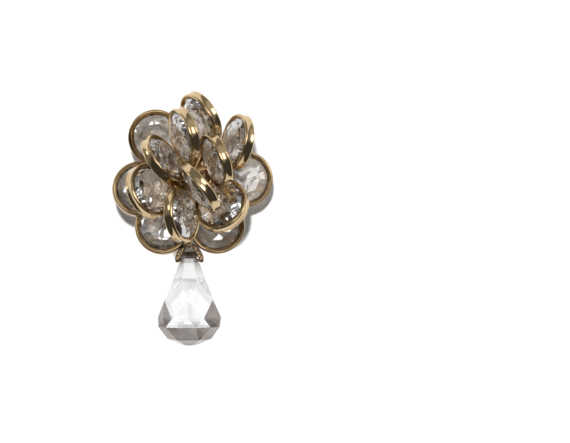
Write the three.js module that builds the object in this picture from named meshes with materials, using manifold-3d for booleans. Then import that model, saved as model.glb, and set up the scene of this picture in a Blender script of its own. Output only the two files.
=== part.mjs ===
// Crystal cluster drop earring that lies on its ear clip.
// Millimetres. X is the width, -Y points to the drop, +Z is up from the surface that it lies on.
// The origin is on the cluster's axis, in the flat underside of the ear clip.

import * as THREE from 'three';
import { mergeVertices } from 'three/addons/utils/BufferGeometryUtils.js';
import Module from 'manifold-3d';

// Gaps between pieces
const seatGap = 0.3;
const stoneGap = 0.2;
const seatShare = 0.75;
const bailGap = 0.22;

// Round channel setting that holds each crystal, open at the back
const bezelRadius = 6.0;
const bezelHeight = 2.2;
const bezelWall = 0.5;
const lipReach = 0.45;
const lipThickness = 0.35;
const bezelSides = 24;

// Round crystal, cut alike on both faces but for a smaller flat at the back
const girdleThickness = 0.5;
const crownHeight = 1.5;
const pavilionDepth = 1.5;

// Ear clip: one bent strip with two leaves
const clipWidth = 7.6;
const clipThickness = 0.75;
const clipLeafLength = 13.5;
const clipForward = 7.0;
const lobeGap = 2.3;

// Back plate, dome and wire stems that carry the settings
const plateRadius = 5.4;
const plateThickness = 0.9;
const domeRadius = 3.8;
const domeHeight = 4.4;
const stemRadius = 0.75;
const stemBite = 0.3;

// Faceted drop, cross-drilled for the bail's pins
const dropLength = 20.1;
const dropRadius = 6.8;
const drillRadius = 0.65;
const drillDepth = 1.9;

// Hang loop on the cluster and pinch bail on the drop
const hangOffset = -0.1;
const hangWireRadius = 0.35;
const hangLoopRadius = 1.9;
const bailThickness = 0.65;
const bailDepth = 1.5;
const bailTipLength = 0.5;
const bailPinRadius = 0.38;
const bailPinReach = 1.3;

// Places of the settings. The azimuth is in degrees from +X. The reach from the axis and the rise above
// the cluster's level are shares of the bezel's radius. The crystal's face leans by the tilt, in degrees,
// towards the azimuth in the lean column.
const settings = [
  { name: 'crystal_outer_1', azimuth: 135, reach: 1.84, rise: 0.03, lean: 300, tilt: 8 },
  { name: 'crystal_outer_2', azimuth: 197, reach: 1.94, rise: 0.20, lean: 40, tilt: 14 },
  { name: 'crystal_outer_3', azimuth: 241, reach: 2.19, rise: -0.12, lean: 110, tilt: 10 },
  { name: 'crystal_outer_4', azimuth: 295, reach: 2.07, rise: -0.05, lean: 340, tilt: 6 },
  { name: 'crystal_outer_5', azimuth: 354, reach: 1.90, rise: -0.10, lean: 0, tilt: 0 },
  { name: 'crystal_outer_6', azimuth: 34, reach: 1.96, rise: 0.77, lean: 170, tilt: 62 },
  { name: 'crystal_outer_7', azimuth: 80, reach: 1.97, rise: 0.67, lean: 211, tilt: 62 },
  { name: 'crystal_inner_1', azimuth: 99.5, reach: 1.32, rise: 1.33, lean: 197, tilt: 67 },
  { name: 'crystal_inner_2', azimuth: 155, reach: 1.05, rise: 1.26, lean: 35, tilt: 70 },
  { name: 'crystal_inner_3', azimuth: 204, reach: 1.57, rise: 1.02, lean: 25, tilt: 50 },
  { name: 'crystal_inner_4', azimuth: 258, reach: 1.51, rise: 1.20, lean: 7, tilt: 64 },
  { name: 'crystal_inner_5', azimuth: 313, reach: 1.58, rise: 0.82, lean: 130, tilt: 34 },
  { name: 'crystal_inner_6', azimuth: 302, reach: 0.66, rise: 1.87, lean: 218, tilt: 78 },
  { name: 'crystal_inner_7', azimuth: 25, reach: 1.00, rise: 1.30, lean: 200, tilt: 70 },
];

// Facet rows of a crystal from its table down. The radius is a share of the girdle's, the height a share
// of the crown's height or the pavilion's depth, and the turn a share of one corner's step.
const crownRows = [
  { radius: 0.52, height: 1, corners: 8, turn: 0 },
  { radius: 0.74, height: 0.66, corners: 8, turn: 0.5 },
  { radius: 1, height: 0, corners: 16, turn: 0 },
];
const pavilionRows = [
  { radius: 1, height: 0, corners: 16, turn: 0 },
  { radius: 0.62, height: 0.55, corners: 8, turn: 0.5 },
  { radius: 0.26, height: 1, corners: 8, turn: 0 },
];

// Facet rows of the drop from its top down. The depth is a share of its length, the radius of its
// greatest radius, the turn of one corner's step, and flat is what the odd corners keep of the radius.
const dropRows = [
  { depth: 0, radius: 0.19, corners: 6, turn: 0, flat: 1 },
  { depth: 0.32, radius: 0.54, corners: 6, turn: 0, flat: 1 },
  { depth: 0.51, radius: 0.88, corners: 6, turn: 0.5, flat: 1 },
  { depth: 0.70, radius: 1, corners: 12, turn: 0, flat: 0.94 },
  { depth: 0.80, radius: 1, corners: 12, turn: 0.5, flat: 1 },
  { depth: 0.935, radius: 0.69, corners: 6, turn: 0, flat: 1 },
  { depth: 1, radius: 0.22, corners: 6, turn: 0, flat: 1 },
];

// One arm of the bail from its tip to its apex. Across is a share of the arms' half spread, along a share
// of the rise above the drilled hole, and depth a share of the bail's depth.
const bailRows = [
  { across: 1, along: 0, depth: 1 },
  { across: 0.92, along: 0.28, depth: 0.95 },
  { across: 0.66, along: 0.58, depth: 0.85 },
  { across: 0.28, along: 0.86, depth: 0.68 },
  { across: 0.10, along: 0.98, depth: 0.6 },
];

// Levels and radii that follow from the sizes
const girdleRadius = bezelRadius - bezelWall - stoneGap;
const bandHalf = bezelHeight / 2 - lipThickness;
const lipRadius = bezelRadius - bezelWall - lipReach;
const plateBottom = 2 * clipThickness + lobeGap + seatGap;
const plateTop = plateBottom + plateThickness;
const domeTop = plateTop + domeHeight;
const clusterLevel = plateTop + seatGap + bezelHeight / 2;

const wasm = await Module();
wasm.setup();

// A closed three.js geometry as a solid that can be joined and cut
function toSolid(geometry) {
  const bare = geometry.clone();
  bare.deleteAttribute('normal');
  bare.deleteAttribute('uv');
  const merged = mergeVertices(bare, 1e-4);
  return new wasm.Manifold(new wasm.Mesh({
    numProp: 3,
    vertProperties: new Float32Array(merged.attributes.position.array),
    triVerts: new Uint32Array(merged.index.array),
  }));
}

// A joined or cut solid as a three.js geometry with flat faces
function toGeometry(solid) {
  const { vertProperties, triVerts } = solid.getMesh();
  const geometry = new THREE.BufferGeometry();
  geometry.setAttribute('position', new THREE.BufferAttribute(vertProperties, 3));
  geometry.setIndex(new THREE.BufferAttribute(triVerts, 1));
  return geometry;
}

function polished(color, roughness, metalness) {
  return new THREE.MeshStandardMaterial({ color, roughness, metalness, flatShading: true });
}

function part(name, geometry, material) {
  const mesh = new THREE.Mesh(geometry, material);
  mesh.name = name;
  return mesh;
}

// A closed solid through rows of corners, from the highest row to the lowest, with flat ends.
// Neighbouring rows may have other numbers of corners: each next triangle takes the nearer corner.
function facetedSolid(rows) {
  const points = [];
  const triangles = [];
  const ring = (row) => {
    const first = points.length / 3;
    for (let i = 0; i < row.corners; i += 1) {
      const angle = (2 * Math.PI * (i + row.turn)) / row.corners;
      const radius = row.radius * (i % 2 ? row.flat ?? 1 : 1);
      points.push(radius * Math.cos(angle), radius * Math.sin(angle), row.height);
    }
    return first;
  };
  const firsts = rows.map(ring);
  for (let k = 0; k + 1 < rows.length; k += 1) {
    const [upper, lower] = [rows[k], rows[k + 1]];
    const corner = (first, row, i) => first + (i % row.corners);
    const middle = (row, i) => (i + 0.5 + row.turn) / row.corners;
    let [a, b] = [0, 0];
    while (a < upper.corners || b < lower.corners) {
      const takeUpper = b === lower.corners || (a < upper.corners && middle(upper, a) < middle(lower, b));
      const top = corner(firsts[k], upper, a);
      const bottom = corner(firsts[k + 1], lower, b);
      if (takeUpper) {
        triangles.push(top, bottom, corner(firsts[k], upper, a + 1));
        a += 1;
      } else {
        triangles.push(top, bottom, corner(firsts[k + 1], lower, b + 1));
        b += 1;
      }
    }
  }
  const last = rows.length - 1;
  for (let i = 1; i + 1 < rows[0].corners; i += 1) {
    triangles.push(firsts[0], firsts[0] + i, firsts[0] + i + 1);
  }
  for (let i = 1; i + 1 < rows[last].corners; i += 1) {
    triangles.push(firsts[last], firsts[last] + i + 1, firsts[last] + i);
  }
  const geometry = new THREE.BufferGeometry();
  geometry.setAttribute('position', new THREE.Float32BufferAttribute(points, 3));
  geometry.setIndex(triangles);
  return geometry;
}

// A crystal about its own axis, with its table up. Grow adds the same clearance all round.
function crystalGeometry(grow = 0) {
  const half = girdleThickness / 2 + grow;
  const radius = girdleRadius + grow;
  const crown = crownRows.map((row) => (
    { ...row, radius: row.radius * radius, height: half + row.height * crownHeight }));
  const pavilion = pavilionRows.map((row) => (
    { ...row, radius: row.radius * radius, height: -half - row.height * pavilionDepth }));
  return facetedSolid([...crown, ...pavilion]);
}

// A channel setting: a round wall with a rolled lip over each face of its crystal
function bezelGeometry() {
  const wall = bezelRadius - bezelWall;
  const half = bezelHeight / 2;
  const profile = [
    [bezelRadius, -bandHalf], [bezelRadius, bandHalf], [lipRadius, half], [lipRadius, bandHalf],
    [wall, bandHalf], [wall, -bandHalf], [lipRadius, -bandHalf], [lipRadius, -half],
    [bezelRadius, -bandHalf],
  ].map(([r, z]) => new THREE.Vector2(r, z));
  return new THREE.LatheGeometry(profile, bezelSides).rotateX(Math.PI / 2);
}

// A group at a setting's place, turned so that its Z axis is the crystal's axis
function settingGroup({ azimuth, reach, rise, lean, tilt }) {
  const group = new THREE.Group();
  const around = THREE.MathUtils.degToRad(azimuth);
  group.position.set(
    reach * bezelRadius * Math.cos(around),
    reach * bezelRadius * Math.sin(around),
    clusterLevel + rise * bezelRadius,
  );
  const axis = new THREE.Vector3(0, 0, 1);
  const leanTurn = new THREE.Quaternion().setFromAxisAngle(axis, THREE.MathUtils.degToRad(lean));
  const tiltTurn = new THREE.Quaternion().setFromAxisAngle(
    new THREE.Vector3(0, 1, 0), THREE.MathUtils.degToRad(tilt));
  group.quaternion.copy(leanTurn).multiply(tiltTurn);
  group.updateMatrixWorld();
  return group;
}

// A straight six-sided wire between two points
function wireGeometry(from, to, radius) {
  const along = to.clone().sub(from);
  const geometry = new THREE.CylinderGeometry(radius, radius, along.length(), 6);
  const turn = new THREE.Quaternion().setFromUnitVectors(new THREE.Vector3(0, 1, 0), along.clone().normalize());
  geometry.applyQuaternion(turn);
  const middle = from.clone().add(to).multiplyScalar(0.5);
  return geometry.translate(middle.x, middle.y, middle.z);
}

// A stem from the hub to the nearest point of a setting's wall, which it bites into
function stemGeometry(group, from) {
  const local = group.worldToLocal(from.clone());
  local.z = 0;
  const end = local.setLength(bezelRadius - stemBite);
  return wireGeometry(from, group.localToWorld(end), stemRadius);
}

// The back plate with the dome on it
function hubGeometry() {
  const dome = [0.93, 0.76, 0.5].map((share) => (
    [domeRadius * share, plateTop + domeHeight * Math.sqrt(1 - share * share)]));
  const profile = [
    [0, plateBottom], [plateRadius, plateBottom], [plateRadius, plateTop],
    [domeRadius, plateTop], ...dome, [0, domeTop],
  ].map(([r, z]) => new THREE.Vector2(r, z));
  return new THREE.LatheGeometry(profile, 16).rotateX(Math.PI / 2);
}

// Height of the drop's axis, so that its lowest edge lies on the surface
const dropAxis = Math.max(...dropRows.map((row) => {
  const corners = Array.from({ length: row.corners }, (_, i) => (
    (i % 2 ? row.flat : 1) * Math.sin((2 * Math.PI * (i + row.turn)) / row.corners)));
  return row.radius * dropRadius * Math.max(...corners);
}));

// Radius of the drop at a depth below its top
function dropRadiusAt(depth) {
  const share = depth / dropLength;
  const k = dropRows.findIndex((row) => row.depth > share);
  const [upper, lower] = [dropRows[k - 1], dropRows[k]];
  const step = (share - upper.depth) / (lower.depth - upper.depth);
  return dropRadius * THREE.MathUtils.lerp(upper.radius, lower.radius, step);
}

// The lower crossing of the rims of two neighbouring settings, seen from above
function rimCrossing(first, second) {
  const [a, b] = [first, second].map((group) => new THREE.Vector2(group.position.x, group.position.y));
  const half = b.clone().sub(a).multiplyScalar(0.5);
  const drop = Math.sqrt(Math.max(0, bezelRadius ** 2 - half.lengthSq()));
  const down = new THREE.Vector2(half.y, -half.x).setLength(drop);
  return a.add(half).add(down);
}

const groups = settings.map(settingGroup);
const notch = rimCrossing(groups[2], groups[3]);

// The hang loop bites into both rims at the notch. The bail's apex and the drop's top clear its wire.
const hangX = notch.x + hangOffset;
const hangLoopY = notch.y + 1.6 * hangWireRadius - hangLoopRadius;
const bailApexY = hangLoopY - hangLoopRadius + hangWireRadius + seatGap + bailThickness / 2;
const bailRise = bailThickness / 2 + 2 * seatGap + 2 * hangWireRadius + drillDepth;
const drillY = bailApexY - bailRise;
const bailSpread = dropRadiusAt(drillDepth + bailTipLength) + bailGap + bailThickness / 2;

// The hang loop stands upright, across the bail
function hangLoopGeometry() {
  const loop = new THREE.TorusGeometry(hangLoopRadius, hangWireRadius, 6, 16).rotateY(Math.PI / 2);
  return loop.translate(hangX, hangLoopY, dropAxis);
}

// All soldered metal: settings, hub, stems and hang loop as one solid, clear of every crystal
function frameGeometry() {
  const bezel = bezelGeometry();
  let metal = toSolid(hubGeometry()).add(toSolid(hangLoopGeometry()));
  for (const group of groups) {
    const height = Math.min(group.position.z, domeTop) - stemRadius;
    const stem = stemGeometry(group, new THREE.Vector3(0, 0, height));
    metal = metal.add(toSolid(stem)).add(toSolid(bezel.clone().applyMatrix4(group.matrixWorld)));
  }
  const seat = crystalGeometry(seatShare * stoneGap);
  for (const group of groups) {
    metal = metal.subtract(toSolid(seat.clone().applyMatrix4(group.matrixWorld)));
  }
  return toGeometry(metal);
}

// A strip through points (x, y, depth) in the plane of the drop's axis, with a six-sided section
function stripGeometry(points, thickness) {
  const sides = 6;
  const positions = [];
  const triangles = [];
  points.forEach((point, i) => {
    const before = points[Math.max(i - 1, 0)];
    const after = points[Math.min(i + 1, points.length - 1)];
    const normal = new THREE.Vector2(before.y - after.y, after.x - before.x).setLength(thickness / 2);
    for (let j = 0; j < sides; j += 1) {
      const angle = (2 * Math.PI * (j + 0.5)) / sides;
      const across = Math.cos(angle) / Math.cos(Math.PI / sides);
      positions.push(point.x + normal.x * across, point.y + normal.y * across, (point.z / 2) * Math.sin(angle));
    }
  });
  for (let i = 0; i + 1 < points.length; i += 1) {
    for (let j = 0; j < sides; j += 1) {
      const [a, b] = [i * sides + j, i * sides + ((j + 1) % sides)];
      triangles.push(a, b, a + sides, b, b + sides, a + sides);
    }
  }
  const end = (points.length - 1) * sides;
  for (let j = 1; j + 1 < sides; j += 1) {
    triangles.push(0, j + 1, j, end, end + j, end + j + 1);
  }
  const geometry = new THREE.BufferGeometry();
  geometry.setAttribute('position', new THREE.Float32BufferAttribute(positions, 3));
  geometry.setIndex(triangles);
  return geometry;
}

// The pinch bail about the middle of the drilled hole: two arms from an apex, each with a pin
function bailGeometry() {
  const arm = bailRows.map(({ across, along, depth }) => (
    new THREE.Vector3(across * bailSpread, along * bailRise, depth * bailDepth)));
  const tip = new THREE.Vector3(bailSpread, -bailTipLength, bailDepth);
  const left = [tip, ...arm].map((p) => new THREE.Vector3(-p.x, p.y, p.z));
  const apex = new THREE.Vector3(0, bailRise, bailRows.at(-1).depth * bailDepth);
  const curve = new THREE.CatmullRomCurve3([...left, apex, ...[tip, ...arm].reverse()]);
  let bail = toSolid(stripGeometry(curve.getPoints(28), bailThickness));
  for (const side of [-1, 1]) {
    const root = new THREE.Vector3(side * bailSpread, 0, 0);
    const tipOfPin = new THREE.Vector3(side * (bailSpread - bailThickness / 2 - bailPinReach), 0, 0);
    bail = bail.add(toSolid(wireGeometry(root, tipOfPin, bailPinRadius)));
  }
  return toGeometry(bail);
}

// The drop about its top, hanging along -Z, with the hole drilled along X
function dropGeometry() {
  const rows = dropRows.map(({ depth, radius, ...row }) => (
    { ...row, radius: radius * dropRadius, height: -depth * dropLength }));
  const reach = new THREE.Vector3(dropRadius, 0, 0);
  const hole = wireGeometry(reach.clone().negate(), reach, drillRadius).translate(0, 0, -drillDepth);
  return toGeometry(toSolid(facetedSolid(rows)).subtract(toSolid(hole)));
}

// The ear clip: one strip bent round the lobe's gap, with its lower leaf on the surface
function clipGeometry() {
  const back = clipForward - clipLeafLength;
  const outer = clipThickness + lobeGap / 2;
  const outline = new THREE.Shape();
  outline.moveTo(back, 0);
  outline.lineTo(clipForward, 0);
  outline.absarc(clipForward, outer, outer, -Math.PI / 2, Math.PI / 2, false);
  outline.lineTo(back, 2 * outer);
  outline.lineTo(back, 2 * outer - clipThickness);
  outline.lineTo(clipForward, 2 * outer - clipThickness);
  outline.absarc(clipForward, outer, lobeGap / 2, Math.PI / 2, -Math.PI / 2, true);
  outline.lineTo(back, clipThickness);
  const strip = new THREE.ExtrudeGeometry(outline, { depth: clipWidth, bevelEnabled: false, curveSegments: 8 });
  strip.translate(0, 0, -clipWidth / 2);
  const axes = [new THREE.Vector3(0, 1, 0), new THREE.Vector3(0, 0, 1), new THREE.Vector3(1, 0, 0)];
  return toGeometry(toSolid(strip.applyMatrix4(new THREE.Matrix4().makeBasis(...axes))));
}

const earring = new THREE.Group();
earring.add(part('flower_frame', frameGeometry(), polished(0xc79d5b, 0.22, 1)));
earring.add(part('ear_clip', clipGeometry(), polished(0xc79d5b, 0.28, 1)));

groups.forEach((group, i) => {
  group.add(part(settings[i].name, crystalGeometry(), polished(0xe9e6e6, 0.03, 0)));
  earring.add(group);
});

const bail = part('pinch_bail', bailGeometry(), polished(0xb98f52, 0.25, 1));
bail.position.set(hangX, drillY, dropAxis);
earring.add(bail);

const drop = part('crystal_drop', dropGeometry(), polished(0xf2f2f2, 0.02, 0));
drop.position.set(hangX, drillY + drillDepth, dropAxis);
drop.rotation.x = -Math.PI / 2;
earring.add(drop);

export default earring;
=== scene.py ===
import math

import bmesh
import bpy
import numpy as np
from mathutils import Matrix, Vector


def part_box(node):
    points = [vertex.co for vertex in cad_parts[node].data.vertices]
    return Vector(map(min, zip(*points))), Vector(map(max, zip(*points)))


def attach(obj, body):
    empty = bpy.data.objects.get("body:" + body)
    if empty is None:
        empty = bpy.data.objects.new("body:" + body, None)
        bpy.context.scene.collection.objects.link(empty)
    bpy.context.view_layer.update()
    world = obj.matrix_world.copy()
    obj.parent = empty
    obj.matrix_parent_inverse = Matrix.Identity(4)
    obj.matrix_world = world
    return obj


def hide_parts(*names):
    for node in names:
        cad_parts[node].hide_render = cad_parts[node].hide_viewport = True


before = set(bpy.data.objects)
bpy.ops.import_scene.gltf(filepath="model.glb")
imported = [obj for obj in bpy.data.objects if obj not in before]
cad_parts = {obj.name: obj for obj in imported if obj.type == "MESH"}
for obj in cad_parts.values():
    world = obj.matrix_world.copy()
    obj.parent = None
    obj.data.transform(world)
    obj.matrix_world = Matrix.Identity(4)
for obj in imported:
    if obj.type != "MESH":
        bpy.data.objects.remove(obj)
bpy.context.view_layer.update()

MM = 0.001


# Channel settings
# Each crystal sits in a ring of brass strip bent round its edge and soldered shut. The edges of the strip
# are rolled over both faces of the crystal, so the back stays open. The whole cluster is then gold plated.

STRIP_BEYOND_GIRDLE = 0.70 * MM
STRIP_HALF_WIDTH = 1.10 * MM
STRIP_WALL = 0.50 * MM
STRIP_HOLLOW = 0.10 * MM
ROLL_RADIUS = 0.40 * MM
ROLL_TURN = (0, 100)
LIP_INNER_RADIUS = 5.00 * MM
LIP_END_RADIUS = 0.15 * MM
LIP_END_HEIGHT = 0.72 * MM
LIP_END_TURN = (110, 270)
RING_STEPS = 112

# A solid's corners count as the girdle's, or as a flat's, from these shares of the largest distance.
GIRDLE_SHARE = 0.98
FLAT_SHARE = 0.95

# The first five outer crystals lie flat, in settings of a darker gold, a painted shade. The two beside the
# drop lie nearer the table on the earring itself, so here they and their settings cast no shadow.
OUTER_CRYSTALS = [f"crystal_outer_{i}" for i in range(1, 8)]
INNER_CRYSTALS = [f"crystal_inner_{i}" for i in range(1, 8)]
FLAT_CRYSTALS = OUTER_CRYSTALS[:5]
LOW_CRYSTALS = OUTER_CRYSTALS[2:4]


def crystal_seat(node):
    """Middle, directions and girdle radius of a set crystal, read from its solid. The axis is the direction
    in which the corners spread least, towards the wider flat. The first direction points to a corner of
    the table."""
    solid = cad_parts[node].data
    corners = np.empty(len(solid.vertices) * 3)
    solid.vertices.foreach_get("co", corners)
    corners = np.unique(corners.reshape(-1, 3).round(7), axis=0)
    spread = corners - corners.mean(0)
    axis = np.linalg.svd(spread)[2][2]
    radial = np.linalg.norm(spread - np.outer(spread @ axis, axis), axis=1)
    middle = corners[radial > GIRDLE_SHARE * radial.max()].mean(0)
    height = (corners - middle) @ axis
    top = height > FLAT_SHARE * height.max()
    bottom = height < FLAT_SHARE * height.min()
    if radial[top].mean() < radial[bottom].mean():
        axis, top = -axis, bottom
    first = corners[top][0] - middle
    first -= (first @ axis) * axis
    first /= np.linalg.norm(first)
    return middle, np.stack([first, np.cross(axis, first), axis]), radial.max()


def arc(r, z, radius, start, end, steps):
    """Points on a circle about (r, z), from the start to the end angle in degrees."""
    angle = np.radians(np.linspace(start, end, steps))
    return np.stack([r + radius * np.cos(angle), z + radius * np.sin(angle)], 1)


def turned(profile, steps):
    """A profile of (radius, height) rows turned round Z: row i at angle a is the point (radius cos a,
    radius sin a, height)."""
    angle = np.arange(steps) * 2 * math.pi / steps
    radius, height = profile[:, :1], profile[:, 1:]
    return np.stack([radius * np.cos(angle), radius * np.sin(angle), height + 0 * angle], -1)


def revolve(profile, steps):
    """A ring from a closed profile. Its faces point outwards where the profile runs anticlockwise."""
    return turned(profile, steps).reshape(-1, 3), loop_faces(len(profile), steps, True)


def loop_faces(rows, steps, close_rows):
    """Four-sided faces of a grid that closes along its steps, and along its rows too where asked."""
    i, j = np.meshgrid(np.arange(rows if close_rows else rows - 1), np.arange(steps), indexing="ij")
    below, beside = (i + 1) % rows, (j + 1) % steps
    corners = [i * steps + j, i * steps + beside, below * steps + beside, below * steps + j]
    return np.stack(corners, -1).reshape(-1, 4).tolist()


def skin(rings):
    """A closed skin over rings of points: four-sided faces between the rings, and a fan of triangles round
    the middle of the first and of the last. Where its volume comes out negative, every face is reversed."""
    rows, steps = rings.shape[:2]
    points = np.concatenate([rings.reshape(-1, 3), [rings[0].mean(0)], [rings[-1].mean(0)]])
    j = np.arange(steps)
    beside = (j + 1) % steps
    last = (rows - 1) * steps
    start = np.stack([beside, j, np.full(steps, rows * steps)], 1)
    end = np.stack([last + j, last + beside, np.full(steps, rows * steps + 1)], 1)
    faces = loop_faces(rows, steps, False) + start.tolist() + end.tolist()
    fans = np.array([(f[0], f[k], f[k + 1]) for f in faces for k in range(1, len(f) - 1)])
    a, b, c = points[fans[:, 0]], points[fans[:, 1]], points[fans[:, 2]]
    if (np.cross(a, b) * c).sum() < 0:
        faces = [face[::-1] for face in faces]
    return points, faces


def make_piece(name, points, faces, material, slot, smooth_angle=None):
    """A mesh object in the row frame from an array of points and a list of faces, smooth shaded."""
    mesh = bpy.data.meshes.new(name)
    mesh.from_pydata(points.tolist(), [], faces)
    mesh.polygons.foreach_set("use_smooth", np.ones(len(mesh.polygons), bool))
    if smooth_angle is not None:
        mesh.set_sharp_from_angle(angle=math.radians(smooth_angle))
    mesh.materials.append(material)
    piece = bpy.data.objects.new(name, mesh)
    bpy.context.scene.collection.objects.link(piece)
    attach(piece, "root")
    return piece


def join_skins(skins):
    """Several (points, faces) pairs as one pair."""
    starts = np.cumsum([0] + [len(points) for points, _ in skins[:-1]]).tolist()
    faces = [[corner + start for corner in face]
             for (_, part), start in zip(skins, starts) for face in part]
    return np.concatenate([points for points, _ in skins]), faces


def node_adder(tree):
    """A function that adds a node to a tree, sets its options and then sets or links its inputs."""

    def add(kind, inputs=None, **settings):
        node = tree.nodes.new(kind)
        for key, value in settings.items():
            setattr(node, key, value)
        for key, value in (inputs or {}).items():
            if isinstance(value, bpy.types.NodeSocket):
                tree.links.new(value, node.inputs[key])
            else:
                node.inputs[key].default_value = value
        return node

    return add


def node_tree(name):
    """A new material, its node tree, its shader, and the function that adds nodes to the tree."""
    material = bpy.data.materials.new(name)
    material.use_nodes = True
    tree = material.node_tree
    return material, tree, tree.nodes["Principled BSDF"], node_adder(tree)


def gold_plate(name, pale, deep, roughness, wave=0.02, pits=0.0):
    """Polished gold plate: two tones in slow patches, a roughness that drifts with wear, fine polishing
    lines and a slight waviness of the strip under it. A casting has pits as well. The depths of the waves
    and of the pits are in millimetres."""
    material, tree, shader, add = node_tree(name)
    place = add("ShaderNodeTexCoord").outputs["Object"]
    patches = add("ShaderNodeTexNoise", {"Vector": place, "Scale": 260.0, "Detail": 3.0})
    tone = add("ShaderNodeMix", {"Factor": patches.outputs["Fac"], "A": (*deep, 1), "B": (*pale, 1)},
               data_type="RGBA")
    tree.links.new(tone.outputs["Result"], shader.inputs["Base Color"])
    wear = add("ShaderNodeTexNoise", {"Vector": place, "Scale": 900.0, "Detail": 4.0})
    gloss = add("ShaderNodeMapRange", {"Value": wear.outputs["Fac"], "To Min": roughness * 0.6,
                                       "To Max": roughness * 1.5})
    tree.links.new(gloss.outputs["Result"], shader.inputs["Roughness"])
    shader.inputs["Metallic"].default_value = 1.0
    waves = add("ShaderNodeTexNoise", {"Vector": place, "Scale": 420.0, "Detail": 1.0})
    bend = add("ShaderNodeBump", {"Height": waves.outputs["Fac"], "Strength": 0.35, "Distance": wave * MM})
    if pits:
        cells = add("ShaderNodeTexVoronoi", {"Vector": place, "Scale": 1900.0, "Randomness": 1.0})
        bend = add("ShaderNodeBump", {"Height": cells.outputs["Distance"], "Strength": 1.0,
                                      "Distance": pits * MM, "Normal": bend.outputs["Normal"]})
    stretch = add("ShaderNodeMapping", {"Vector": place, "Scale": (1.0, 1.0, 9.0)})
    lines = add("ShaderNodeTexNoise", {"Vector": stretch.outputs["Vector"], "Scale": 2600.0, "Detail": 2.0})
    fine = add("ShaderNodeBump", {"Height": lines.outputs["Fac"], "Strength": 0.10, "Distance": 0.002 * MM,
                                  "Normal": bend.outputs["Normal"]})
    tree.links.new(fine.outputs["Normal"], shader.inputs["Normal"])
    return material


def strip_profile(radius):
    """The strip's section as (radius, height) rows, anticlockwise: a slightly hollow outer face, a rounded
    shoulder, a lip that slopes down to its rounded end, and the straight inner wall; then mirrored."""
    shoulder = STRIP_HALF_WIDTH - ROLL_RADIUS
    height = np.linspace(0, shoulder, 5)[:-1]
    face = np.stack([radius - STRIP_HOLLOW * (1 - (height / shoulder) ** 2), height], 1)
    roll = arc(radius - ROLL_RADIUS, shoulder, ROLL_RADIUS, *ROLL_TURN, steps=9)
    end = arc(LIP_INNER_RADIUS + LIP_END_RADIUS, LIP_END_HEIGHT, LIP_END_RADIUS, *LIP_END_TURN, steps=7)
    wall = np.array([[radius - STRIP_WALL, LIP_END_HEIGHT - LIP_END_RADIUS]])
    upper = np.concatenate([face, roll, end, wall])
    lower = (upper * [1, -1])[:0:-1]
    return np.concatenate([upper, lower])


seats = {node: crystal_seat(node) for node in OUTER_CRYSTALS + INNER_CRYSTALS}
ring_radius = seats[OUTER_CRYSTALS[0]][2] + STRIP_BEYOND_GIRDLE
points, faces = revolve(strip_profile(ring_radius), RING_STEPS)
setting_gold = gold_plate("gold_settings", pale=(0.61, 0.465, 0.285), deep=(0.48, 0.34, 0.165),
                          roughness=0.11)
# A darker copy of the settings' gold for the flat settings, a painted shade.
shaded_setting_gold = gold_plate("gold_settings_shaded", pale=(0.53, 0.395, 0.235), deep=(0.32, 0.22, 0.105),
                       roughness=0.09)
for node, (middle, directions, _) in seats.items():
    name = node.replace("crystal", "setting")
    gold = shaded_setting_gold if node in FLAT_CRYSTALS else setting_gold
    setting = make_piece(name, middle + points @ directions, faces, gold, "gold_frame")
    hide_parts("flower_frame")
    setting.visible_shadow = node not in LOW_CRYSTALS


# Back plate, dome and stems
# Behind the flower a round brass plate carries a low dome. Wire stems run from it to the nearest edge of
# every setting, and each foot has a fillet of solder.

STEM_RADIUS = 0.75 * MM
STEM_BITE = 0.25 * MM
FOOT_FLARE = 0.45 * MM
FOOT_FADE = 0.405 * MM
STEM_STEPS = 18
STEM_ROWS = 16
PLATE_RADIUS = 5.4 * MM
PLATE_BOTTOM = 4.1 * MM
PLATE_THICKNESS = 0.9 * MM
PLATE_EDGE = 0.25 * MM
DOME_RADIUS = 3.8 * MM
DOME_HEIGHT = 4.4 * MM
DOME_FOOT = 0.19 * MM
DOME_FOOT_HEIGHT = 0.02 * MM
DOME_ROWS = 13
HUB_STEPS = 72
HUB_MIDDLE = 0.02 * MM


def hub_profile():
    """Half section of the plate with its rounded edge and of the dome on it, a quarter of an ellipse."""
    plate_top = PLATE_BOTTOM + PLATE_THICKNESS
    edge = PLATE_RADIUS - PLATE_EDGE
    angle = np.linspace(0, 0.5 * math.pi, DOME_ROWS + 1)[1:-1]
    return np.concatenate([
        [[HUB_MIDDLE, PLATE_BOTTOM]],
        arc(edge, PLATE_BOTTOM + PLATE_EDGE, PLATE_EDGE, -90, 0, steps=5),
        arc(edge, plate_top - PLATE_EDGE, PLATE_EDGE, 0, 90, steps=5),
        [[DOME_RADIUS + DOME_FOOT, plate_top + DOME_FOOT_HEIGHT]],
        np.stack([DOME_RADIUS * np.cos(angle), plate_top + DOME_HEIGHT * np.sin(angle)], 1),
        [[HUB_MIDDLE, plate_top + DOME_HEIGHT]],
    ])


def stem(start, end):
    """A round wire from start to end as circles. The radius grows at the foot by a falling exponential of
    the distance that is left, which is the fillet of solder."""
    along = end - start
    length = np.linalg.norm(along)
    along = along / length
    side = np.cross(along, [0.0, 0.0, 1.0])
    side /= np.linalg.norm(side)
    up = np.cross(side, along)
    step = np.linspace(0, length, STEM_ROWS)
    flare = FOOT_FLARE * np.exp((step - length) / FOOT_FADE)
    radius = (STEM_RADIUS + flare)[:, None, None]
    angle = np.arange(STEM_STEPS) * 2 * math.pi / STEM_STEPS
    ring = np.cos(angle)[:, None] * side + np.sin(angle)[:, None] * up
    return skin(start + step[:, None, None] * along + radius * ring)


def nearest_rim(middle, directions, point, radius):
    """The point of a setting's circle that lies nearest to a given point."""
    local = (point - middle) @ directions.T
    local[2] = 0
    return middle + (local * radius / np.linalg.norm(local)) @ directions


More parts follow.
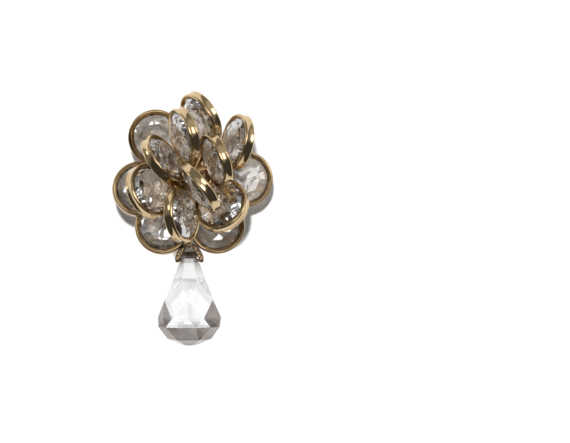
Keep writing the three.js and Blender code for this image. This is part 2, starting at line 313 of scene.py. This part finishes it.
dome_top = PLATE_BOTTOM + PLATE_THICKNESS + DOME_HEIGHT
skins = [skin(turned(hub_profile(), HUB_STEPS))]
for middle, directions, _ in seats.values():
    start = np.array([0, 0, min(middle[2], dome_top) - STEM_RADIUS])
    skins.append(stem(start, nearest_rim(middle, directions, start, ring_radius - STEM_BITE)))
backing_gold = gold_plate("gold_backing", pale=(0.60, 0.42, 0.23), deep=(0.38, 0.23, 0.10),
                          roughness=0.22, wave=0.03)
backing = make_piece("backing_and_stems", *join_skins(skins), backing_gold, "gold_frame", smooth_angle=40)
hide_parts("flower_frame")


# Solder joints
# Beads of solder hold the settings to each other, one wherever two of them touch. Each bead has run a little
# along both rims before it set, and it is plated with the rest.

BEAD_LENGTH = 0.75 * MM
BEAD_RADIUS = 0.48 * MM
BEAD_UNEVENNESS = 0.10
BEAD_POLE = 0.02
TOUCH_DISTANCE = 0.75 * MM
BEAD_STEPS = 24
BEAD_ROWS = 14
SHOULDER_HEIGHT = 0.8 * MM
RIM_SAMPLES = 180


def rim_points(middle, directions):
    """Points on the two shoulders and the middle of a setting's outer face."""
    angle = np.arange(RIM_SAMPLES) * 2 * math.pi / RIM_SAMPLES
    ring = (ring_radius - STRIP_HOLLOW) * np.stack([np.cos(angle), np.sin(angle)], -1)
    local = np.concatenate([np.concatenate([ring, np.full((RIM_SAMPLES, 1), height)], 1)
                            for height in (-SHOULDER_HEIGHT, 0, SHOULDER_HEIGHT)])
    return middle + local @ directions


def bead(middle, along):
    """A long drop of solder: an ellipsoid with its long way along the rims, whose radius a sine of both
    angles makes uneven. Its rows stop just short of the poles, where the fans close it."""
    along = along / np.linalg.norm(along)
    side = np.cross(along, [0.3, 0.2, 1.0])
    side /= np.linalg.norm(side)
    up = np.cross(side, along)
    pole = np.linspace(BEAD_POLE, math.pi - BEAD_POLE, BEAD_ROWS)[:, None]
    angle = np.arange(BEAD_STEPS) * 2 * math.pi / BEAD_STEPS
    uneven = 1 + BEAD_UNEVENNESS * np.sin(3 * angle + 2 * pole) * np.sin(pole)
    radius = BEAD_RADIUS * np.sin(pole) * uneven
    points = (BEAD_LENGTH * np.cos(pole) + 0 * angle)[..., None] * along
    points = points + (radius * np.cos(angle))[..., None] * side + (radius * np.sin(angle))[..., None] * up
    return skin(middle + points)


rims = {node: rim_points(middle, directions) for node, (middle, directions, _) in seats.items()}
names = list(rims)
skins = []
for a, first in enumerate(names):
    for second in names[a + 1:]:
        apart = np.linalg.norm(rims[first][:, None] - rims[second][None], axis=2)
        i, j = np.unravel_index(apart.argmin(), apart.shape)
        if apart[i, j] < TOUCH_DISTANCE:
            between = (rims[first][i] + rims[second][j]) / 2
            skins.append(bead(between, np.cross(seats[first][1][2], between - seats[first][0])))
solder = make_piece("solder_beads", *join_skins(skins), backing_gold, "gold_frame")
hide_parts("flower_frame")


# Hang loop
# A closed ring of brass wire, soldered upright into the notch between the two lowest settings. The bail
# passes through it and hangs from it.

HANG_WIRE_RADIUS = 0.35 * MM
HANG_LOOP_RADIUS = 1.9 * MM
HANG_PLAY = 0.3 * MM
HANG_WIRE_STEPS = 20
HANG_LOOP_STEPS = 64
BAIL_THICKNESS = 0.65 * MM

bail_low, bail_high = (np.array(corner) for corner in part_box("pinch_bail"))
hang_x = (bail_low[0] + bail_high[0]) / 2
hang_z = (bail_low[2] + bail_high[2]) / 2
hang_y = bail_high[1] + HANG_PLAY - 2 * HANG_WIRE_RADIUS + HANG_LOOP_RADIUS - BAIL_THICKNESS
loop_section = arc(HANG_LOOP_RADIUS, 0, HANG_WIRE_RADIUS, 0, 360 - 360 / HANG_WIRE_STEPS, HANG_WIRE_STEPS)
points, faces = revolve(loop_section, HANG_LOOP_STEPS)
points = points[:, [2, 0, 1]] + [hang_x, hang_y, hang_z]
loop = make_piece("hang_loop", points, faces, setting_gold, "gold_frame")
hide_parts("flower_frame")


# Crystals
# Round clear glass crystals, machine cut with a table, star, main and rim facets on the face, and the same
# with a small flat on the back. Each is pressed into its setting, and its edges are polished off by a hair.

EDGE_POLISH = 0.03 * MM
GIRDLE_HEIGHT = 0.25 * MM
CROWN_HEIGHT = 1.5 * MM
CROWN = [(0.60, 1.0, 8), (0.80, 0.76, 16), (0.93, 0.40, 32), (1.0, 0.0, 32)]
BACK = [(0.24, 1.0, 8), (0.52, 0.78, 16), (0.80, 0.42, 32), (1.0, 0.0, 32)]
FACETS_OF_BANDS = (1, 24, 48, 64)
# How much painted shade each band of facets takes, from the table to the rim.
PAINTED_SHADE_OF_BANDS = (0.0, 0.2, 0.4, 0.8)
GIRDLE_FACETS = 32
# Facets whose own share is below the first gleam; those with a share above the second take a painted amber
# reflection of the gold strip.
SPARK_BELOW = 0.25
PAINTED_GOLD_REFLECTION_ABOVE = 0.62

CRYSTAL_IOR = 1.54
# The nearly white colour of the patches of painted light, and the colours painted on rim facets: a painted
# shade, and a painted amber reflection of the gold strip.
PAINTED_LIGHT_PATCH = (1.0, 0.985, 0.965)
PAINTED_RIM_SHADE_COLOUR = (0.08, 0.062, 0.048)
PAINTED_GOLD_REFLECTION_COLOUR = (0.74, 0.43, 0.13)


def cut_glass(name, ior, ripple):
    """Clear polished glass, with faint smears and a slow ripple that the polish left in the facets, its
    depth in millimetres. Returns the node tree's parts and the place on the piece too, so that each kind of
    stone can colour the light that it lets through."""
    material, tree, shader, add = node_tree(name)
    shader.inputs["Transmission Weight"].default_value = 1.0
    shader.inputs["IOR"].default_value = ior
    place = add("ShaderNodeTexCoord").outputs["Object"]
    smears = add("ShaderNodeTexNoise", {"Vector": place, "Scale": 500.0, "Detail": 3.0})
    haze = add("ShaderNodeMapRange", {"Value": smears.outputs["Fac"], "To Min": 0.0, "To Max": 0.03})
    tree.links.new(haze.outputs["Result"], shader.inputs["Roughness"])
    slow = add("ShaderNodeTexNoise", {"Vector": place, "Scale": 330.0, "Detail": 1.0})
    bend = add("ShaderNodeBump", {"Height": slow.outputs["Fac"], "Strength": 1.0, "Distance": ripple * MM})
    tree.links.new(bend.outputs["Normal"], shader.inputs["Normal"])
    return material, tree, shader, add, place


def crystal_glass(name, shade, mirror, grain, sway):
    """The crystals' glass. The strip round a crystal and the stones beside it take most of its light, so
    its glass takes a painted shade, a warm grey. Patches with wavy edges, a noise of a given grain cut at a
    level, are painted light, nearly white, and mirror the room with the strength of an index of refraction.
    What they mirror sways in millimetres of uneven height. The facets' own attributes add a painted shade
    or a painted amber reflection of the gold strip to rim facets, and sparks that mirror as the patches do."""
    material, tree, shader, add, place = cut_glass(name, CRYSTAL_IOR, ripple=0.16)
    patches = add("ShaderNodeTexNoise", {"Vector": place, "Scale": grain, "Detail": 2.5, "Roughness": 0.55,
                                         "Distortion": 0.9})
    light = add("ShaderNodeMapRange", {"Value": patches.outputs["Fac"], "From Min": 0.48, "From Max": 0.51},
                interpolation_type="SMOOTHSTEP")
    tone = add("ShaderNodeMix", {"Factor": light.outputs["Result"], "A": (*shade, 1),
                                 "B": (*PAINTED_LIGHT_PATCH, 1)}, data_type="RGBA")
    painted_rim_shade = add("ShaderNodeAttribute", attribute_name="painted_rim_shade").outputs["Fac"]
    painted_gold_reflection = add("ShaderNodeAttribute", attribute_name="painted_gold_reflection").outputs["Fac"]
    rim = add("ShaderNodeMix", {"Factor": painted_gold_reflection, "A": (*PAINTED_RIM_SHADE_COLOUR, 1), "B": (*PAINTED_GOLD_REFLECTION_COLOUR, 1)},
              data_type="RGBA")
    facet = add("ShaderNodeMix", {"Factor": painted_rim_shade, "A": tone.outputs["Result"], "B": rim.outputs["Result"]},
                data_type="RGBA")
    tree.links.new(facet.outputs["Result"], shader.inputs["Base Color"])
    spark = add("ShaderNodeAttribute", attribute_name="spark").outputs["Fac"]
    gleam = add("ShaderNodeMath", {0: light.outputs["Result"], 1: spark}, operation="MAXIMUM")
    tree.links.new(gleam.outputs["Value"], shader.inputs["Coat Weight"])
    shader.inputs["Coat IOR"].default_value = mirror
    shader.inputs["Coat Roughness"].default_value = 0.02
    uneven = add("ShaderNodeTexNoise", {"Vector": place, "Scale": 0.85 * grain, "Detail": 1.5})
    lean = add("ShaderNodeBump", {"Height": uneven.outputs["Fac"], "Strength": 1.0, "Distance": sway * MM})
    tree.links.new(lean.outputs["Normal"], shader.inputs["Coat Normal"])
    return material


def polish_edges(stone, edge):
    """Narrow polished chamfers on every edge of a cut stone."""
    polish = stone.modifiers.new("polish", "BEVEL")
    polish.width = edge
    polish.segments = 1
    polish.limit_method = "ANGLE"
    polish.angle_limit = math.radians(4)


def facet_rows(table, radius, girdle, height):
    """Corners of one face of the stone, row by row from the flat to the rim: each row is a ring of points
    at a share of the radius, at the girdle's height plus a share of the height. A row with as many corners
    as the row before is turned by half a step."""
    rows, turn = [], 0.0
    for k, (share, rise, corners) in enumerate(table):
        if k and corners == table[k - 1][2]:
            turn += math.pi / corners
        angle = turn + np.arange(corners) * 2 * math.pi / corners
        ring = share * radius * np.stack([np.cos(angle), np.sin(angle)], 1)
        rows.append(np.concatenate([ring, np.full((corners, 1), girdle + rise * height)], 1))
    return rows


def facet_band(start, corners, next_start, next_corners):
    """Triangles between two rows. Where the next row has twice the corners, each edge meets the corner half
    way along it; where it has as many, each edge meets the corner before it."""
    k = np.arange(corners)
    here, beside = start + k, start + (k + 1) % corners
    if next_corners == corners:
        return np.concatenate([np.stack([here, next_start + k, beside], 1),
                               np.stack([beside, next_start + k, next_start + (k + 1) % corners], 1)])
    under = next_start + 2 * k
    after = next_start + (2 * k + 2) % next_corners
    return np.concatenate([np.stack([here, under, under + 1], 1), np.stack([here, under + 1, beside], 1),
                           np.stack([beside, under + 1, after], 1)])


def cut_stone(radius):
    """The whole stone: the face's rows, the girdle's band between the two rims, and the back's rows, which
    are the same construction turned over."""
    front = facet_rows(CROWN, radius, GIRDLE_HEIGHT, CROWN_HEIGHT)
    back = facet_rows(BACK, radius, GIRDLE_HEIGHT, CROWN_HEIGHT)
    points = np.concatenate(front + [row * [1, 1, -1] for row in back])
    counts = [len(row) for row in front]
    starts = np.cumsum([0] + counts).tolist()
    face = [list(range(counts[0]))]
    for k in range(len(counts) - 1):
        face += facet_band(starts[k], counts[k], starts[k + 1], counts[k + 1]).tolist()
    half = starts[-1]
    reverse = [[corner + half for corner in facet][::-1] for facet in face]
    j = np.arange(counts[-1])
    beside = (j + 1) % counts[-1]
    front_rim, back_rim = starts[-2], half + starts[-2]
    girdle = np.stack([front_rim + j, back_rim + j, back_rim + beside, front_rim + beside], 1)
    return points, face + reverse + girdle.tolist()


def facet_tones(stone):
    """How much painted shade each facet takes, which facets gleam, and which take a painted amber reflection
    of the gold strip. Each band of facets has its painted shade, from none on the table to most at the rim
    and the girdle. A facet takes it by a share of its own, which is the fraction of a large multiple of a
    sine. The facets with the smallest shares gleam and take no painted shade. Those with the largest take
    the painted amber reflection, in the two outer bands and the girdle."""
    face = np.repeat(PAINTED_SHADE_OF_BANDS, FACETS_OF_BANDS)
    band = np.concatenate([face, face, np.full(GIRDLE_FACETS, PAINTED_SHADE_OF_BANDS[-1])])
    own = np.modf(np.abs(np.sin(np.arange(len(band)) * 12.9898 + stone * 78.233)) * 43758.5453)[0]
    gleams = (own < SPARK_BELOW) & (band > 0)
    reflects_gold = (own > PAINTED_GOLD_REFLECTION_ABOVE) & (band > PAINTED_SHADE_OF_BANDS[1])
    painted_rim_shade = np.where(gleams, 0.0, band * (0.25 + own))
    return {"painted_rim_shade": painted_rim_shade, "spark": gleams.astype(float), "painted_gold_reflection": reflects_gold.astype(float)}


# For each crystal: the painted shade of its glass, for the light that its setting and the stones beside it
# take, the mirror of its patches as an index of refraction, their grain as the noise's scale, and the sway
# of what they mirror in millimetres.
STONE_GLASS = {
    "crystal_outer_1": ((0.52, 0.475, 0.425), 3.0, 310.0, 0.35),
    "crystal_outer_2": ((1.0, 0.95, 0.88), 3.6, 310.0, 0.40),
    "crystal_outer_3": ((0.28, 0.26, 0.24), 3.0, 300.0, 0.50),
    "crystal_outer_4": ((0.54, 0.50, 0.45), 3.6, 300.0, 0.50),
    "crystal_outer_5": ((0.46, 0.425, 0.39), 1.75, 290.0, 0.30),
    "crystal_outer_6": ((0.42, 0.37, 0.315), 5.5, 480.0, 0.60),
    "crystal_outer_7": ((0.38, 0.32, 0.26), 5.5, 480.0, 0.60),
    "crystal_inner_1": ((0.44, 0.39, 0.335), 5.5, 480.0, 0.60),
    "crystal_inner_2": ((0.30, 0.245, 0.19), 3.0, 480.0, 0.60),
    "crystal_inner_3": ((0.95, 0.89, 0.81), 6.0, 480.0, 0.60),
    "crystal_inner_4": ((0.84, 0.77, 0.68), 6.0, 480.0, 0.60),
    "crystal_inner_5": ((0.74, 0.66, 0.56), 4.5, 480.0, 0.60),
    "crystal_inner_6": ((0.10, 0.08, 0.06), 2.2, 480.0, 0.60),
    "crystal_inner_7": ((0.96, 0.88, 0.78), 7.0, 480.0, 0.60),
}

for stone, (node, (middle, directions, girdle_radius)) in enumerate(seats.items()):
    points, faces = cut_stone(girdle_radius)
    name = node.replace("crystal", "cut_crystal")
    glass = crystal_glass(node.replace("crystal", "glass"), *STONE_GLASS[node])
    crystal = make_piece(name, middle + points @ directions, faces, glass, "crystal")
    crystal.data.polygons.foreach_set("use_smooth", np.zeros(len(faces), bool))
    # Each facet's painted rim shade, its painted amber reflection of the gold strip, and whether it gleams.
    for tone, values in facet_tones(stone).items():
        crystal.data.attributes.new(tone, "FLOAT", "FACE").data.foreach_set("value", values)
    crystal.visible_shadow = node not in LOW_CRYSTALS
    polish_edges(crystal, EDGE_POLISH)
    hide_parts(node)


# Faceted drop
# A pear-shaped drop of cut glass, with long facets above, pointed facets round the belly and a faceted
# base. A hole is drilled across its neck for the bail's pins. Its base is painted a dark grey, for the shade
# and the dark room seen through the clear glass.

DROP_EDGE = 0.05 * MM
DROP_IOR = 1.46
# The dark grey painted on the drop's shaded facets, for the shade and the dark room seen through the clear
# glass.
PAINTED_DROP_SHADE = (0.034, 0.021, 0.015)
# Heights along the drop where the neck's painted grey begins and where the flanks' painted grey fades out.
NECK_FROM = -18.2 * MM
NECK_TO = -18.0 * MM
STREAK_FROM = -24.5 * MM
STREAK_TO = -19.5 * MM

# Where the drop's facets lie: their depth as shares of its length from the neck, and how far aside they are
# as shares of its half width.
FLANK_ABOVE = 0.45
BELLY_FROM = 0.56
BELLY_TO = 0.72
BASE_FROM = 0.77
BELLY_SIDE = 0.6
BASE_SIDE = 0.55

drop_low, drop_high = (np.array(corner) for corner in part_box("crystal_drop"))
drop_axis = (drop_low + drop_high) / 2


def drop_facets():
    """The solid's facets as a mesh of its own: its triangles are merged, and those that lie in one plane
    become one facet."""
    work = bmesh.new()
    work.from_mesh(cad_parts["crystal_drop"].data)
    bmesh.ops.remove_doubles(work, verts=work.verts, dist=0.002 * MM)
    bmesh.ops.dissolve_limit(work, angle_limit=math.radians(0.5), verts=work.verts, edges=work.edges)
    mesh = bpy.data.meshes.new("cut_drop")
    work.to_mesh(mesh)
    work.free()
    return mesh


def painted_shade_of_facets(mesh):
    """How much painted shade each facet takes, from 0 to 1, and which facets are the long flanks. A facet's
    depth is its share of the way from the neck to the base's end, and it lies aside by a share of the half
    width. The upper facets of the base, below the drop's widest row, are painted dark grey for the shade and
    the dark room seen through the clear glass, and so are the pointed facets at either side of the belly.
    The others take a lighter painted shade, more on the base, that differs by a trace, a sine of their
    direction."""
    count = len(mesh.polygons)
    middle, normal = np.empty(count * 3), np.empty(count * 3)
    mesh.polygons.foreach_get("center", middle)
    mesh.polygons.foreach_get("normal", normal)
    middle, normal = middle.reshape(-1, 3), normal.reshape(-1, 3)
    depth = (drop_high[1] - middle[:, 1]) / (drop_high[1] - drop_low[1])
    aside = np.abs(middle[:, 0] - drop_axis[0]) / (drop_high[0] - drop_axis[0])
    upper = normal[:, 2] > 0.1
    base = (normal[:, 2] > -0.1) & ((depth > BASE_FROM) | ((depth > BELLY_TO) & (aside > BASE_SIDE)))
    belly = (depth > BELLY_FROM) & (depth < BELLY_TO) & (aside > BELLY_SIDE)
    belly &= upper & (middle[:, 2] > drop_axis[2])
    flank = (depth < FLANK_ABOVE) & (np.abs(normal[:, 0]) > 0.6) & upper
    # A painted shade that differs with each facet's direction, so that the facets show apart.
    trace = 0.5 + 0.5 * np.sin(normal @ [7.0, 11.0, 5.0])
    rest = np.where(depth > BASE_FROM, 0.45, 0.15) + 0.30 * trace
    deep = 0.96 + 0.04 * np.clip((aside - 0.25) / 0.3, 0, 1)
    painted_shade = np.where(base, deep, np.where(belly, 0.95 + 0.05 * trace, rest))
    return {"painted_shade": painted_shade, "flank": flank.astype(float)}


def drop_glass():
    """Glass that turns from clear to grey, and less see-through, with the painted shade of its facet. The
    drilled neck is painted grey too, for the bail and pins seen through it, and the long flanks fade from a
    painted grey at the neck to clear at the belly."""
    material, tree, shader, add, place = cut_glass("drop_glass", DROP_IOR, ripple=0.05)
    along = add("ShaderNodeSeparateXYZ", {0: place}).outputs["Y"]
    neck = add("ShaderNodeMapRange", {"Value": along, "From Min": NECK_FROM, "From Max": NECK_TO})
    fade = add("ShaderNodeMapRange", {"Value": along, "From Min": STREAK_FROM, "From Max": STREAK_TO,
                                      "To Max": 0.88})
    flank = add("ShaderNodeAttribute", attribute_name="flank").outputs["Fac"]
    streak = add("ShaderNodeMath", {0: flank, 1: fade.outputs["Result"]}, operation="MULTIPLY")
    # The painted grey of the drilled neck and of the long flanks.
    cut = add("ShaderNodeMath", {0: neck.outputs["Result"], 1: streak.outputs["Value"]},
              operation="MAXIMUM")
    painted_shade = add("ShaderNodeAttribute", attribute_name="painted_shade").outputs["Fac"]
    grey = add("ShaderNodeMath", {0: painted_shade, 1: cut.outputs["Value"]}, operation="MAXIMUM").outputs["Value"]
    cloud = add("ShaderNodeTexNoise", {"Vector": place, "Scale": 260.0, "Detail": 2.0})
    uneven = add("ShaderNodeMapRange", {"Value": cloud.outputs["Fac"], "From Min": 0.3, "From Max": 0.7,
                                        "To Min": 0.96, "To Max": 1.03})
    shade = add("ShaderNodeMath", {0: grey, 1: uneven.outputs["Result"]}, operation="MULTIPLY",
                use_clamp=True)
    tone = add("ShaderNodeMix", {"Factor": shade.outputs["Value"], "A": (1.0, 1.0, 1.0, 1),
                                 "B": (*PAINTED_DROP_SHADE, 1)}, data_type="RGBA")
    tree.links.new(tone.outputs["Result"], shader.inputs["Base Color"])
    solid = add("ShaderNodeMapRange", {"Value": grey, "From Max": 0.7, "To Min": 0.28, "To Max": 1.0})
    tree.links.new(solid.outputs["Result"], shader.inputs["Alpha"])
    return material


drop_mesh = drop_facets()
# Each facet's painted shade, and whether it is one of the long flanks.
for tone, values in painted_shade_of_facets(drop_mesh).items():
    drop_mesh.attributes.new(tone, "FLOAT", "FACE").data.foreach_set("value", values)
drop_mesh.materials.clear()
drop_mesh.materials.append(drop_glass())
drop = bpy.data.objects.new("cut_drop", drop_mesh)
bpy.context.scene.collection.objects.link(drop)
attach(drop, "root")
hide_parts("crystal_drop")
polish_edges(drop, DROP_EDGE)
drop.visible_shadow = False
drop.visible_diffuse = False


# Pinch bail
# A strip of brass bent to a narrow arch, with a short pin inside each tip. It is slipped through the hang
# loop and pinched shut, so that the pins enter the drilled hole of the drop.

BAIL_TIP_LENGTH = 0.5 * MM
BAIL_PIN_RADIUS = 0.38 * MM
BAIL_PIN_REACH = 1.3 * MM
BAIL_END_SHARE = 0.05
BAIL_SQUARENESS = 0.75
GROOVE_DEPTH = 0.34
GROOVE_WIDTH = 0.16
BAIL_STEPS = 24
BAIL_ROWS = 110
PIN_ROWS = 12
PIN_DOME_SHARE = 0.15

bail_half = (bail_high[0] - bail_low[0] - BAIL_THICKNESS) / 2
bail_depth = bail_high[2] - bail_low[2]
drill_y = bail_low[1] + BAIL_TIP_LENGTH
bail_rise = bail_high[1] - BAIL_THICKNESS / 2 - drill_y


def smooth_path(points, steps):
    """A smooth line through points: between two points, a cubic whose direction at each point is that from
    the point before to the point after."""
    padded = np.concatenate([[2 * points[0] - points[1]], points, [2 * points[-1] - points[-2]]])
    place = np.linspace(0, len(points) - 1 - 1e-9, steps)
    k = place.astype(int)
    t = (place - k)[:, None]
    before, here, after, beyond = padded[k], padded[k + 1], padded[k + 2], padded[k + 3]
    return 0.5 * (2 * here + (after - before) * t + (2 * before - 5 * here + 4 * after - beyond) * t**2
                  + (3 * here - before - 3 * after + beyond) * t**3)


def bail_strip():
    """The arch as rounded sections along its middle line. Each row of the arm gives the middle's distance
    across, its place along, the width and the depth. A section is a superellipse of that width and depth
    with a groove down its front, and it shrinks to a rounded end at both tips."""
    arm = np.array([[0.97, -0.14, 0.75, 1.0], [0.97, 0.04, 0.95, 1.0], [0.86, 0.28, 1.25, 0.95],
                    [0.64, 0.58, 1.25, 0.85], [0.36, 0.84, 0.95, 0.7], [0.12, 0.97, 0.7, 0.6]])
    path = np.concatenate([arm * [-1, 1, 1, 1], [[0, 1.0, 0.65, 0.6]], arm[::-1]])
    line = smooth_path(path, BAIL_ROWS) * [bail_half, bail_rise, MM, bail_depth / 2]
    tangent = np.gradient(line[:, :2], axis=0)
    tangent /= np.linalg.norm(tangent, axis=1)[:, None]
    normal = np.stack([-tangent[:, 1], tangent[:, 0]], 1)
    share = np.arange(BAIL_ROWS) / (BAIL_ROWS - 1)
    end = np.clip(np.minimum(share, 1 - share) / BAIL_END_SHARE, 0, 1)
    swell = np.sqrt(np.clip(1 - (1 - end) ** 2, 0.01, 1))
    angle = np.arange(BAIL_STEPS) * 2 * math.pi / BAIL_STEPS
    across = np.sign(np.cos(angle)) * np.abs(np.cos(angle)) ** BAIL_SQUARENESS / 2
    deep = np.sign(np.sin(angle)) * np.abs(np.sin(angle)) ** BAIL_SQUARENESS
    groove = GROOVE_DEPTH * np.exp(-(across / GROOVE_WIDTH) ** 2) * (np.sin(angle) > 0)
    plane = line[:, None, :2] + normal[:, None] * ((swell * line[:, 2])[:, None] * across)[..., None]
    height = (swell * line[:, 3])[:, None] * (deep - groove)
    return skin(np.concatenate([plane, height[..., None]], -1) + [hang_x, drill_y, hang_z])


def bail_pin(side):
    """A round pin from the inside of a tip into the drilled hole. Over the last share of its length the
    radius falls as the root of one minus a square, which is its domed end."""
    share = np.linspace(0, 1, PIN_ROWS)
    along = bail_half - share * (BAIL_PIN_REACH + BAIL_THICKNESS / 2)
    domed = np.clip((share - 1 + PIN_DOME_SHARE) / PIN_DOME_SHARE, 0, 1)
    radius = BAIL_PIN_RADIUS * np.sqrt(np.clip(1 - domed**2, 0.001, 1))
    angle = np.arange(BAIL_STEPS) * 2 * math.pi / BAIL_STEPS
    rings = np.stack([side * along[:, None] + 0 * angle, radius[:, None] * np.cos(angle),
                      radius[:, None] * np.sin(angle)], -1)
    return skin(rings + [hang_x, drill_y, hang_z])


bail_gold = gold_plate("gold_bail", pale=(0.72, 0.54, 0.32), deep=(0.03, 0.02, 0.012), roughness=0.09,
                       wave=0.18, pits=0.18)
points, faces = join_skins([bail_strip(), bail_pin(-1), bail_pin(1)])
bail = make_piece("pinch_bail_strip", points, faces, bail_gold, "gold_bail")
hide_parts("pinch_bail")
bail.visible_shadow = False


# Ear clip
# The hidden fastening: one springy brass strip bent back on itself, with rounded edges and ends. Its upper
# leaf is under the back plate. Its lower leaf goes behind the lobe and is what the earring lies on.

CLIP_THICKNESS = 0.75 * MM
CLIP_GAP = 2.3 * MM
CLIP_EDGE = 0.22 * MM
CLIP_END_WIDTH = 0.06
CLIP_LEAF_ROWS = 40
CLIP_BEND_ROWS = 32

clip_low, clip_high = (np.array(corner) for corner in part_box("ear_clip"))
bend_radius = (CLIP_GAP + CLIP_THICKNESS) / 2
bend_y = clip_high[1] - CLIP_GAP / 2 - CLIP_THICKNESS


def clip_strip():
    """A rounded rectangle carried along two straight leaves and the half circle between them. Towards both
    ends the section narrows as the root of one minus a square, which rounds the leaves' ends."""
    leaf = bend_y - clip_low[1]
    half_turn = math.pi * bend_radius
    total = 2 * leaf + half_turn
    straight = np.linspace(0, leaf, CLIP_LEAF_ROWS)
    bend = np.linspace(0, half_turn, CLIP_BEND_ROWS)
    place = np.concatenate([straight, leaf + bend[1:], leaf + half_turn + straight[1:]])
    turn = np.clip((place - leaf) / bend_radius, 0, math.pi)
    way_back = place - leaf - half_turn
    y = np.where(place < leaf, clip_low[1] + place,
                 np.where(way_back > 0, bend_y - way_back, bend_y + bend_radius * np.sin(turn)))
    z = CLIP_THICKNESS / 2 + bend_radius * (1 - np.cos(turn))
    tangent = np.stack([np.cos(turn), np.sin(turn)], 1)
    normal = np.stack([-tangent[:, 1], tangent[:, 0]], 1)
    half_width = (clip_high[0] - clip_low[0]) / 2
    tip = np.clip(np.minimum(place, total - place) / half_width, 0, 1)
    narrow = CLIP_END_WIDTH + (1 - CLIP_END_WIDTH) * np.sqrt(np.clip(1 - (1 - tip) ** 2, 0, 1))
    corner = np.radians(np.linspace(0, 90, 5))
    quarter = CLIP_EDGE * np.stack([np.cos(corner) - 1, np.sin(corner) - 1], 1)
    quarter += [half_width, CLIP_THICKNESS / 2]
    mirrored = quarter[::-1]
    section = np.concatenate([quarter, mirrored * [-1, 1], -quarter, mirrored * [1, -1]])
    x = narrow[:, None] * section[:, 0]
    offset = section[:, 1]
    return skin(np.stack([x, y[:, None] + normal[:, :1] * offset, z[:, None] + normal[:, 1:] * offset], -1))


clip_gold = gold_plate("gold_clip", pale=(0.82, 0.62, 0.36), deep=(0.70, 0.48, 0.25), roughness=0.20)
clip = make_piece("ear_clip_strip", *clip_strip(), clip_gold, "gold_clip", smooth_angle=35)
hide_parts("ear_clip")


# Table, light and camera
# A pale paper table under a light nearly overhead. A ceiling lamp and two windows show in reflections and
# through glass only. The room is pale with a dark side beyond the drop, and the camera looks straight down.

CAMERA_AT = (19.9 * MM, -10.3 * MM, 380 * MM)
LENS = 109.75
TABLE_HALF = 1.6
PAPER = (0.86, 0.86, 0.86)
LIGHTS_AIM = (0, 0, 0.01)
DARK_SIDE = 0.07
LIT_SIDE = 0.29
GLOW = 0.35
GLOW_TOWARDS = (0.48, 0.53, 0.70)
ROOM_THROUGH_GLASS = 0.78
ROOM_BEHIND_TABLE = 0.9

table_points = np.array([[-1, -1, 0], [1, -1, 0], [1, 1, 0], [-1, 1, 0]]) * TABLE_HALF
table_mesh = bpy.data.meshes.new("paper_table")
table_mesh.from_pydata(table_points.tolist(), [], [(0, 1, 2, 3)])
table = bpy.data.objects.new("paper_table", table_mesh)
bpy.context.scene.collection.objects.link(table)
paper, tree, shader, add = node_tree("white_paper")
shader.inputs["Base Color"].default_value = (*PAPER, 1)
shader.inputs["Roughness"].default_value = 0.9
table_mesh.materials.append(paper)


def soft_light(name, place, size, power):
    """A square soft light at a place, turned to the cluster: it is tipped from straight down by the angle
    to its direction, and then turned round Z."""
    data = bpy.data.lights.new(name, "AREA")
    data.shape = "SQUARE"
    data.size = size
    data.energy = power
    light = bpy.data.objects.new(name, data)
    bpy.context.scene.collection.objects.link(light)
    light.location = place
    direction = np.array(LIGHTS_AIM) - np.array(place)
    x, y, z = direction / np.linalg.norm(direction)
    light.rotation_euler = (math.acos(-z), 0, math.atan2(-x, y))
    return light


overhead_light = soft_light("overhead_light", (-0.01, 0.32, 1.12), size=0.08, power=16.6)
overhead_light.visible_glossy = False
ceiling_lamp = soft_light("ceiling_lamp", (-0.03, 0.21, 1.2), size=0.50, power=2.4)
right_window = soft_light("right_window", (0.60, 0.30, 0.74), size=0.38, power=1.8)
left_window = soft_light("left_window", (-0.90, 0.36, 0.26), size=0.26, power=0.7)
for lamp in (ceiling_lamp, right_window, left_window):
    lamp.visible_diffuse = False

world = bpy.data.worlds.new("pale_room")
bpy.context.scene.world = world
world.use_nodes = True
sky = world.node_tree
add = node_adder(sky)
direction = add("ShaderNodeTexCoord").outputs["Generated"]
away = add("ShaderNodeSeparateXYZ", {0: direction}).outputs["Y"]
lit = add("ShaderNodeMapRange", {"Value": away, "From Min": -0.10, "From Max": 0.06, "To Min": DARK_SIDE,
                                 "To Max": LIT_SIDE}, interpolation_type="SMOOTHSTEP")
towards = add("ShaderNodeVectorMath", {0: direction, 1: GLOW_TOWARDS}, operation="DOT_PRODUCT")
glow = add("ShaderNodeMapRange", {"Value": towards.outputs["Value"], "From Min": 0.80, "From Max": 0.92,
                                  "To Max": GLOW}, interpolation_type="SMOOTHSTEP")
room = add("ShaderNodeMath", {0: lit.outputs["Result"], 1: glow.outputs["Result"]}, operation="ADD")
seen = add("ShaderNodeLightPath")
through = add("ShaderNodeMix", {"Factor": seen.outputs["Is Transmission Ray"], "A": room.outputs["Value"],
                                "B": ROOM_THROUGH_GLASS})
strength = add("ShaderNodeMix", {"Factor": seen.outputs["Is Camera Ray"], "A": through.outputs["Result"],
                                 "B": ROOM_BEHIND_TABLE})
background = sky.nodes["Background"]
background.inputs["Color"].default_value = (1.0, 1.0, 1.0, 1)
sky.links.new(strength.outputs["Result"], background.inputs["Strength"])

camera_data = bpy.data.cameras.new("camera")
camera_data.lens = LENS
camera_data.sensor_width = 36
camera = bpy.data.objects.new("camera", camera_data)
bpy.context.scene.collection.objects.link(camera)
camera.location = CAMERA_AT
bpy.context.scene.camera = camera
bpy.context.scene.view_settings.view_transform = "Standard"
